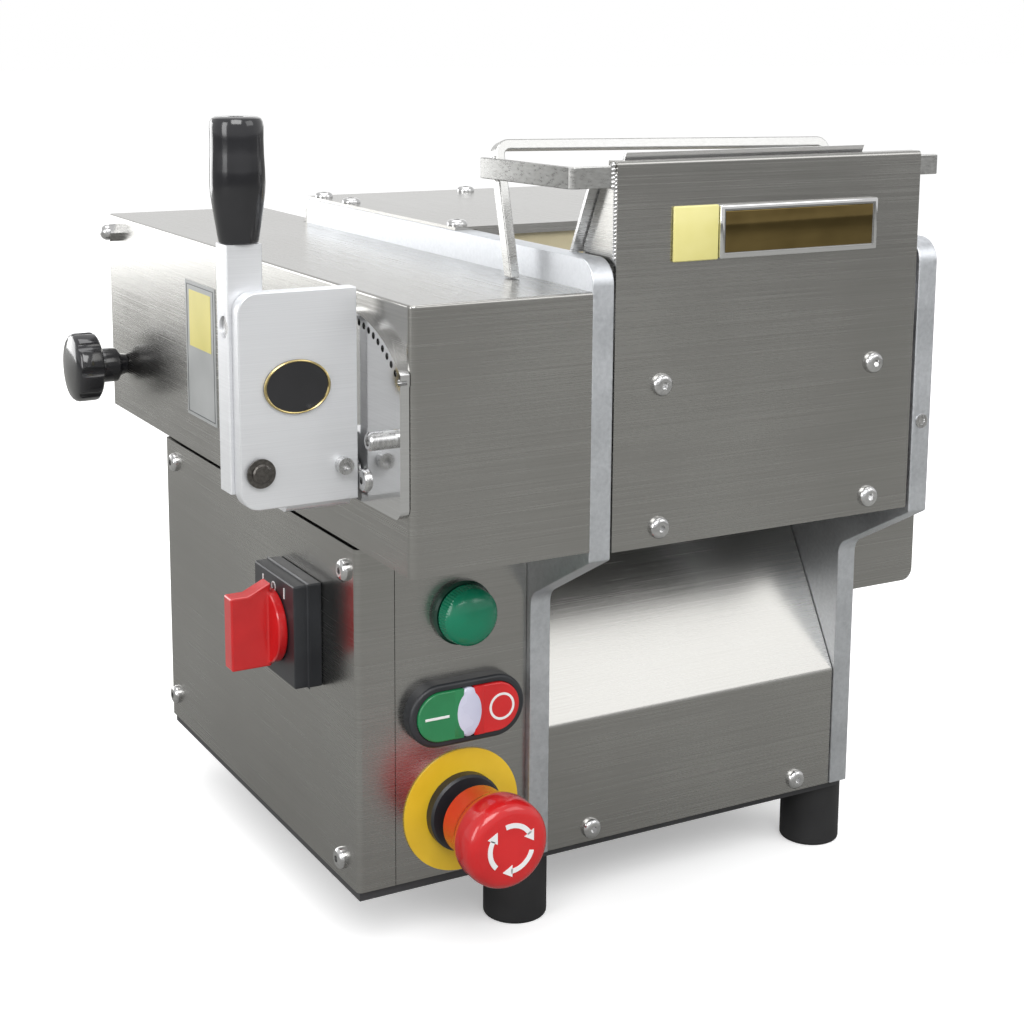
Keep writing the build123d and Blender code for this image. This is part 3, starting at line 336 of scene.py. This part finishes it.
# The base tray is coloured near black as painted shade: the shadow under the overhanging covers is painted into its
# colour.
base_painted_shade = plastic("base_painted_shade", (0.030, 0.030, 0.033), (0.045, 0.045, 0.048), 0.35, 0.5)
dress(base_painted_shade, "base_tray")
motor_paint = plastic("motor_paint", (0.16, 0.18, 0.19), (0.21, 0.23, 0.24), 0.3, 0.45)
dress(motor_paint, "motor", "gearbox")
red_plastic = plastic("signal_red", (0.50, 0.008, 0.010), (0.62, 0.014, 0.016), 0.16, 0.26, bump=0.02, coat=0.4)
dress(red_plastic, "switch_handle", "red_button", "e_stop_button")
green_plastic = plastic("signal_green", (0.012, 0.16, 0.055), (0.018, 0.21, 0.075), 0.18, 0.28, bump=0.02, coat=0.3)
dress(green_plastic, "green_button", "lamp_lens")
bezel_green = plastic("bezel_green", (0.003, 0.03, 0.018), (0.005, 0.045, 0.028), 0.12, 0.2, bump=0.01, coat=0.3)
dress(bezel_green, "lamp_bezel")
white_plastic = plastic("lens_white", (0.60, 0.62, 0.72), (0.72, 0.74, 0.82), 0.15, 0.25, bump=0.02, coat=0.4)
dress(white_plastic, "white_lens")
yellow_plastic = plastic("signal_yellow", (0.68, 0.44, 0.02), (0.78, 0.52, 0.03), 0.30, 0.42, bump=0.03)
dress(yellow_plastic, "e_stop_ring")
label_film = plastic("label_film", (0.30, 0.31, 0.31), (0.38, 0.39, 0.39), 0.35, 0.5)
dress(label_film, "warning_label")
cream = plastic("cream_plastic", (0.52, 0.46, 0.30), (0.62, 0.55, 0.37), 0.35, 0.5)
dress(cream, "infeed_apron")
dress(mirror_steel, "guard_badges")

# ---------------------------------------------------------------- guard badges and weld
# A cream enamel square and a chromed frame with a dark gold domed window, both left blank, are glued to
# the guard. The sheet behind is welded down the guard's left edge in a row of small beads.
square = finish_piece(slab((28.8, -0.5, 315.0), (51.8, 1.0, 338.6), 0.7), "badge_square",
                      plastic("badge_enamel", (0.72, 0.66, 0.24), (0.80, 0.74, 0.32), 0.12, 0.2, bump=0.01, coat=0.5),
                      "guard")
chrome = metal("badge_chrome", (0.70, 0.70, 0.70), (0.80, 0.80, 0.80), 0.05, 0.10, bump=0.0)
frame_piece = slab((51.9, -1.6, 315.2), (137.6, 1.0, 338.4), 0.9)
bpy.ops.object.mode_set(mode="EDIT")
bpy.ops.mesh.select_all(action="DESELECT")
bpy.ops.object.mode_set(mode="OBJECT")
for face in frame_piece.data.polygons:
    face.select = face.normal.y < -0.99 and face.area > 0.0005
bpy.ops.object.mode_set(mode="EDIT")
bpy.ops.mesh.inset(thickness=0.0014)
bpy.ops.mesh.extrude_region_move(TRANSFORM_OT_translate={"value": (0, 0.0006, 0)})
finish_piece(frame_piece, "badge_frame", chrome, "guard")
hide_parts("guard_badges")
gold = metal("badge_gold", (0.10, 0.07, 0.025), (0.26, 0.19, 0.075), 0.06, 0.12, along=6.0, across=40.0,
             clouds=25.0, bump=0.0)
finish_piece(slab((54.6, -1.35, 317.8), (134.9, 0.5, 335.8), 0.5), "badge_window", gold, "guard")


def bead_row(name, first, last, count, size, body):
    """A row of overlapping flattened beads between two points, as a weld leaves."""
    bpy.ops.object.select_all(action="DESELECT")
    start, step = spot(*first), (spot(*last) - spot(*first)) / (count - 1)
    bpy.ops.mesh.primitive_uv_sphere_add(segments=10, ring_count=6, radius=size / 1000, location=start)
    beads = bpy.context.object
    bpy.ops.object.transform_apply(location=True)
    bpy.ops.object.mode_set(mode="EDIT")
    for _ in range(count - 1):
        bpy.ops.mesh.duplicate_move(TRANSFORM_OT_translate={"value": step})
    return finish_piece(beads, name, screw_steel, body, 60)


bead_row("guard_edge_weld", (1.6, 2.6, 318), (1.6, 2.6, 352), 22, 1.15, "guard")
bead_row("bar_weld", (0.6, 3.2, 347.6), (0.6, 3.2, 356.4), 6, 1.3, "guard")
bead_row("bail_weld", (-22.0, 61.5, 347.0), (-22.0, 64.5, 356.0), 6, 1.0, "guard")

# ---------------------------------------------------------------- lever grip, clamping knob and lever badge
# The grip and the eight-lobed knob are turned and moulded black phenolic, screwed on. The oval badge is a
# domed black plate with a gold rim.
grip = lathe([(327, 7.3), (327.6, 7.9), (330, 8.4), (336, 9.3), (342, 10.2), (347, 10.8), (351, 11.0), (356, 10.9),
              (362, 10.6), (368, 10.5), (373, 10.6), (375, 10.3), (376.2, 9.6), (376.8, 8.4), (376.8, 3.2),
              (375.6, 2.9)], spot(-145.0, 49.6, 0))
finish_piece(grip, "turned_grip", black_gloss, "lever_arm")
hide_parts("lever_grip")

knob = lathe([(0.3, 5.5), (4.0, 6.5), (6.0, 9.3), (6.6, 9.6), (14.6, 9.6), (17.2, 9.0), (17.4, 17.2), (18.6, 18.9),
              (20.0, 19.2), (28.5, 19.2), (30.2, 18.6), (31.4, 17.0), (32.4, 11.0), (33.0, 4.0)], (0, 0, 0), sides=96)
bpy.ops.object.select_all(action="DESELECT")
bpy.ops.mesh.primitive_cylinder_add(vertices=32, radius=0.0044, depth=0.018, location=(0.0222, 0, 0.0258))
cutter = bpy.context.object
bpy.ops.object.transform_apply(location=True)
bpy.ops.object.mode_set(mode="EDIT")
for _ in range(7):
    bpy.ops.mesh.duplicate()
    bpy.ops.transform.rotate(value=radians(45), orient_axis="Z", center_override=(0, 0, 0))
bpy.ops.object.mode_set(mode="OBJECT")
bpy.ops.object.select_all(action="DESELECT")
bpy.context.view_layer.objects.active = knob
knob.select_set(True)
lobes = knob.modifiers.new("lobes", "BOOLEAN")
lobes.operation, lobes.object, lobes.solver = "DIFFERENCE", cutter, "EXACT"
bpy.ops.object.modifier_apply(modifier=lobes.name)
soft = knob.modifiers.new("soft_lobes", "BEVEL")
soft.width, soft.segments, soft.limit_method, soft.angle_limit = 0.0009, 3, "ANGLE", radians(50)
bpy.ops.object.modifier_apply(modifier=soft.name)
bpy.data.objects.remove(cutter)
knob.rotation_euler = (0, radians(-90), 0)
knob.location = spot(-93.9, 367.5, 222)
finish_piece(knob, "lobed_knob", black_gloss, "clamp_knob", 40)
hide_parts("lock_knob")

bpy.ops.mesh.primitive_torus_add(major_radius=0.0138, minor_radius=0.0006, major_segments=64, minor_segments=8)
rim = bpy.context.object
rim.rotation_euler = (radians(90), 0, 0)
rim.scale = (1, 10.6 / 13.8, 1)
rim.location = spot(-126.6, 35.4, 269.8)
finish_piece(rim, "badge_rim", metal("gilt", (0.50, 0.40, 0.18), (0.62, 0.50, 0.24), 0.15, 0.25, bump=0.0),
             "gap_lever")
finish_piece(slab((-94.5, 225, 250), (-94.25, 256, 279), 0.05, 1), "label_panel",
             plastic("label_yellow", (0.62, 0.55, 0.14), (0.70, 0.62, 0.18), 0.3, 0.4, bump=0.0), "frame")
label_ink = plastic("label_ink", (0.05, 0.055, 0.06), (0.08, 0.085, 0.09), 0.3, 0.4, bump=0.0)
for number, (y0, y1, z0, z1) in enumerate(((221, 260, 281.4, 281.9), (221, 260, 215.1, 215.6),
                                           (221, 221.5, 215.1, 281.9), (259.5, 260, 215.1, 281.9))):
    finish_piece(slab((-94.45, y0, z0), (-94.25, y1, z1), 0.03, 1), f"label_border_{number}", label_ink, "frame")

# ---------------------------------------------------------------- panel lamp, keys and emergency stop
# Moulded caps in the signal colours. The lamp's lens has fine upright ribs, the keys carry a bar and a ring,
# and the stop head has three white arrows that show which way it twists free.
lens = lathe([(0, 12.2), (2.6, 12.2), (2.9, 13.2), (3.4, 13.5), (8.6, 13.0), (9.6, 12.4), (11.0, 10.9), (12.2, 8.6),
              (13.2, 5.4), (13.7, 2.0)], (0, 0, 0), sides=120)
for vertex in lens.data.vertices:
    vertex.select = False
for edge in lens.data.edges:
    edge.select = False
for face in lens.data.polygons:
    face.select = False
for vertex in lens.data.vertices:
    ring_radius = (vertex.co.x ** 2 + vertex.co.y ** 2) ** 0.5
    vertex.select = 0.0032 < vertex.co.z < 0.0098 and ring_radius > 0.012 and vertex.index % 2 == 0
bpy.ops.object.mode_set(mode="EDIT")
bpy.ops.mesh.select_mode(type="VERT")
bpy.ops.transform.resize(value=(0.985, 0.985, 1), center_override=(0, 0, 0))
bpy.ops.object.mode_set(mode="OBJECT")
lens.rotation_euler = (radians(90), 0, 0)
lens.location = spot(-43.6, 51.6, 158.5)
lens_green = plastic("lens_green", (0.0005, 0.17, 0.085), (0.001, 0.23, 0.12), 0.18, 0.26, bump=0.0, coat=0.15)
finish_piece(lens, "ribbed_lens", lens_green, "frame", 20)
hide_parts("lamp_lens")

head = lathe([(0, 15.2), (0.8, 16.0), (10.5, 16.2), (12.2, 16.5), (14.5, 17.9), (17.0, 19.3), (20.0, 20.0), (26.5, 20.0),
              (29.4, 19.6), (31.4, 18.5), (32.6, 16.8), (33.2, 14.5), (33.5, 10.0), (33.6, 2.0)],
             spot(-43.6, 39.6, 66.3), (90, 0, 0), 96)
finish_piece(head, "stop_head", red_plastic, "stop_mushroom")
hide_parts("e_stop_button")

collar = lathe([(1.05, 17.8), (5.4, 17.8), (6.4, 16.8), (6.4, 8.0), (3.0, 7.6)], spot(-43.6, 52.6, 66.3), (90, 0, 0), 72)
finish_piece(collar, "stop_collar", black_plastic, "frame")
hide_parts("e_stop_collar")

mark_white = plastic("mark_white", (0.72, 0.72, 0.72), (0.82, 0.82, 0.82), 0.3, 0.4, bump=0.0)


def flat_ring(inner, outer, place, turn, gaps=(), sides=72, thick=0.35):
    """A flat printed ring in mm, with the given spans of degrees left out."""
    bpy.ops.object.select_all(action="DESELECT")
    bpy.ops.mesh.primitive_circle_add(vertices=sides, radius=inner / 1000, fill_type="NOTHING")
    ring = bpy.context.object
    bpy.ops.object.mode_set(mode="EDIT")
    bpy.ops.mesh.select_all(action="SELECT")
    bpy.ops.mesh.extrude_edges_move(TRANSFORM_OT_translate={"value": (0, 0, 0)})
    bpy.ops.transform.resize(value=(outer / inner, outer / inner, 1), center_override=(0, 0, 0))
    bpy.ops.mesh.select_mode(type="FACE")
    bpy.ops.mesh.select_all(action="DESELECT")
    bpy.ops.object.mode_set(mode="OBJECT")
    for face in ring.data.polygons:
        angle = degrees(atan2(face.center.y, face.center.x)) % 360
        face.select = any(low < angle < high for low, high in gaps)
    bpy.ops.object.mode_set(mode="EDIT")
    bpy.ops.mesh.delete(type="FACE")
    bpy.ops.mesh.select_all(action="SELECT")
    bpy.ops.mesh.extrude_region_move(TRANSFORM_OT_translate={"value": (0, 0, thick / 1000)})
    bpy.ops.object.mode_set(mode="OBJECT")
    ring.rotation_euler = [radians(a) for a in turn]
    ring.location = place
    return ring


arrows = flat_ring(9.2, 11.4, (0, 0, 0), (0, 0, 0), gaps=[(105, 150), (225, 270), (345, 360), (0, 30)])
for tip_angle in (30, 150, 270):
    bpy.ops.object.select_all(action="DESELECT")
    bpy.ops.mesh.primitive_cylinder_add(vertices=3, radius=0.0031, depth=0.00035,
                                        location=(0.0103 * cos(radians(tip_angle - 6)),
                                                  0.0103 * sin(radians(tip_angle - 6)), 0.000175),
                                        rotation=(0, 0, radians(tip_angle + 180)))
    tip = bpy.context.object
    arrows.select_set(True)
    bpy.context.view_layer.objects.active = arrows
    bpy.ops.object.join()
arrows.rotation_euler = (radians(90), 0, 0)
arrows.location = spot(-43.6, 6.25, 66.3)
finish_piece(arrows, "twist_arrows", mark_white, "stop_mushroom")

finish_piece(flat_ring(5.2, 6.3, spot(-27.4, 44.6, 114.5), (90, 0, 0)), "stop_mark", mark_white, "stop_key")
finish_piece(slab((-65.4, 44.25, 113.9), (-53.6, 44.6, 115.1), 0.1, 1), "start_mark", mark_white, "start_key")

for name, body, slot, material, x0, x1 in (
        ("start_key_wing", "start_key", "green_plastic", green_plastic, -51.2, -46.2),
        ("stop_key_wing", "stop_key", "red_plastic", red_plastic, -41.0, -36.0)):
    finish_piece(slab((x0, 44.42, 103.2), (x1, 49.0, 125.8), 0.3, 2), name, material, body)
between = lathe([(0, 7.0), (4.0, 7.0), (4.7, 6.4), (4.95, 5.0), (5.05, 2.0)], (0, 0, 0))
between.scale = (1, 11.3 / 7.0, 1)
between.rotation_euler = (radians(90), 0, 0)
between.location = spot(-43.6, 49.2, 114.5)
finish_piece(between, "oval_lens", plastic("lens_pearl", (0.50, 0.51, 0.66), (0.60, 0.61, 0.74), 0.2, 0.3, bump=0.0),
             "frame")
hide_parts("white_lens")

# ---------------------------------------------------------------- main switch
# A two-layer black plate with a moulded red flag handle. A bar, a nought and a bar show its three places.
eased("switch_plate", "frame", black_plastic, 0.8)
eased("switch_handle", "switch_turn", red_plastic, 0.8)
for number, y in enumerate((100.5, 125.5)):
    finish_piece(slab((-107.85, y - 0.4, 160.2), (-107.4, y + 0.4, 165.2), 0.1, 1), f"switch_bar_{number}", mark_white,
                 "frame")
finish_piece(flat_ring(1.7, 2.4, spot(-107.45, 113, 162.7), (0, -90, 0), sides=32), "switch_nought", mark_white,
             "frame")

# ---------------------------------------------------------------- floor, light and camera
# A pale seamless floor under soft studio boxes; the camera looks from the operator's left.
bpy.ops.mesh.primitive_plane_add(size=30)
floor = bpy.context.object
floor.name = "studio_floor"
floor_paint, floor_shader = new_material("studio_floor")
seen = add_node(floor_paint.node_tree, "ShaderNodeLightPath")
paper = add_node(floor_paint.node_tree, "ShaderNodeMix", data_type="RGBA")
paper.inputs[6].default_value = (0.30, 0.30, 0.29, 1)
paper.inputs[7].default_value = (0.92, 0.92, 0.92, 1)
glow = add_node(floor_paint.node_tree, "ShaderNodeMath", operation="MULTIPLY")
glow.inputs[1].default_value = 0.32
floor_paint.node_tree.links.new(seen.outputs["Is Camera Ray"], paper.inputs["Factor"])
floor_paint.node_tree.links.new(paper.outputs[2], floor_shader.inputs["Base Color"])
floor_paint.node_tree.links.new(seen.outputs["Is Camera Ray"], glow.inputs[0])
floor_paint.node_tree.links.new(glow.outputs[0], floor_shader.inputs["Emission Strength"])
floor_shader.inputs["Emission Color"].default_value = (1, 1, 1, 1)
floor_shader.inputs["Roughness"].default_value = 0.9
floor_shader.inputs["Specular IOR Level"].default_value = 0.0
floor.data.materials.append(floor_paint)

world = bpy.data.worlds.new("studio")
bpy.context.scene.world = world
world.use_nodes = True
sky = world.node_tree.nodes["Background"]
sky.inputs["Color"].default_value = (1, 1, 1, 1)
looked_at = add_node(world.node_tree, "ShaderNodeLightPath")
level_light = add_node(world.node_tree, "ShaderNodeMapRange")
level_light.inputs["To Min"].default_value, level_light.inputs["To Max"].default_value = 0.75, 1.0
world.node_tree.links.new(looked_at.outputs["Is Camera Ray"], level_light.inputs["Value"])
world.node_tree.links.new(level_light.outputs["Result"], sky.inputs["Strength"])


def soft_box(name, place, target, size, power):
    bpy.ops.object.light_add(type="AREA", location=place)
    lamp = bpy.context.object
    lamp.name = name
    lamp.data.shape = "RECTANGLE"
    lamp.data.size, lamp.data.size_y = size
    lamp.data.energy = power
    lamp.visible_camera = False
    lamp.rotation_euler = (Vector(target) - Vector(place)).to_track_quat("-Z", "Y").to_euler()
    return lamp


soft_box("key_box", (-0.9, -2.1, 2.1), (0, 0, 0.2), (1.9, 1.3), 44)
soft_box("right_box", (1.45, -1.95, 1.55), (0.05, -0.1, 0.15), (1.5, 1.2), 10)
soft_box("left_box", (-2.4, -0.8, 1.0), (0, 0, 0.2), (0.9, 1.4), 17)
soft_box("top_box", (0.1, 0.3, 2.4), (0, 0, 0.2), (2.0, 1.6), 22)
soft_box("back_box", (1.1, 2.6, 0.95), (0, 0, 0.2), (3.4, 1.5), 5)
soft_box("rear_left_box", (-0.95, 1.9, 0.42), (-0.1, 0, 0.2), (1.2, 0.8), 11)

bpy.ops.object.camera_add()
camera = bpy.context.object
camera.name = "front_left_camera"
camera.data.sensor_width = 36.0
camera.data.lens = 64.48
camera.data.shift_y = -0.1587
yaw, pitch, roll = radians(29.245), radians(10.026), radians(0.376)
ahead = Vector((sin(yaw) * cos(pitch), cos(yaw) * cos(pitch), -sin(pitch)))
camera.location = (-0.43786, -0.83014, 0.41267)
camera.rotation_mode = "QUATERNION"
level = Vector((cos(yaw), -sin(yaw), 0))
upright = level.cross(ahead)
side = level * cos(roll) + upright * sin(roll)
top = upright * cos(roll) - level * sin(roll)
camera.rotation_quaternion = Matrix((side, top, -ahead)).transposed().to_quaternion()
camera.data.clip_start = 0.01
bpy.context.scene.camera = camera
bpy.context.scene.view_settings.view_transform = "Standard"
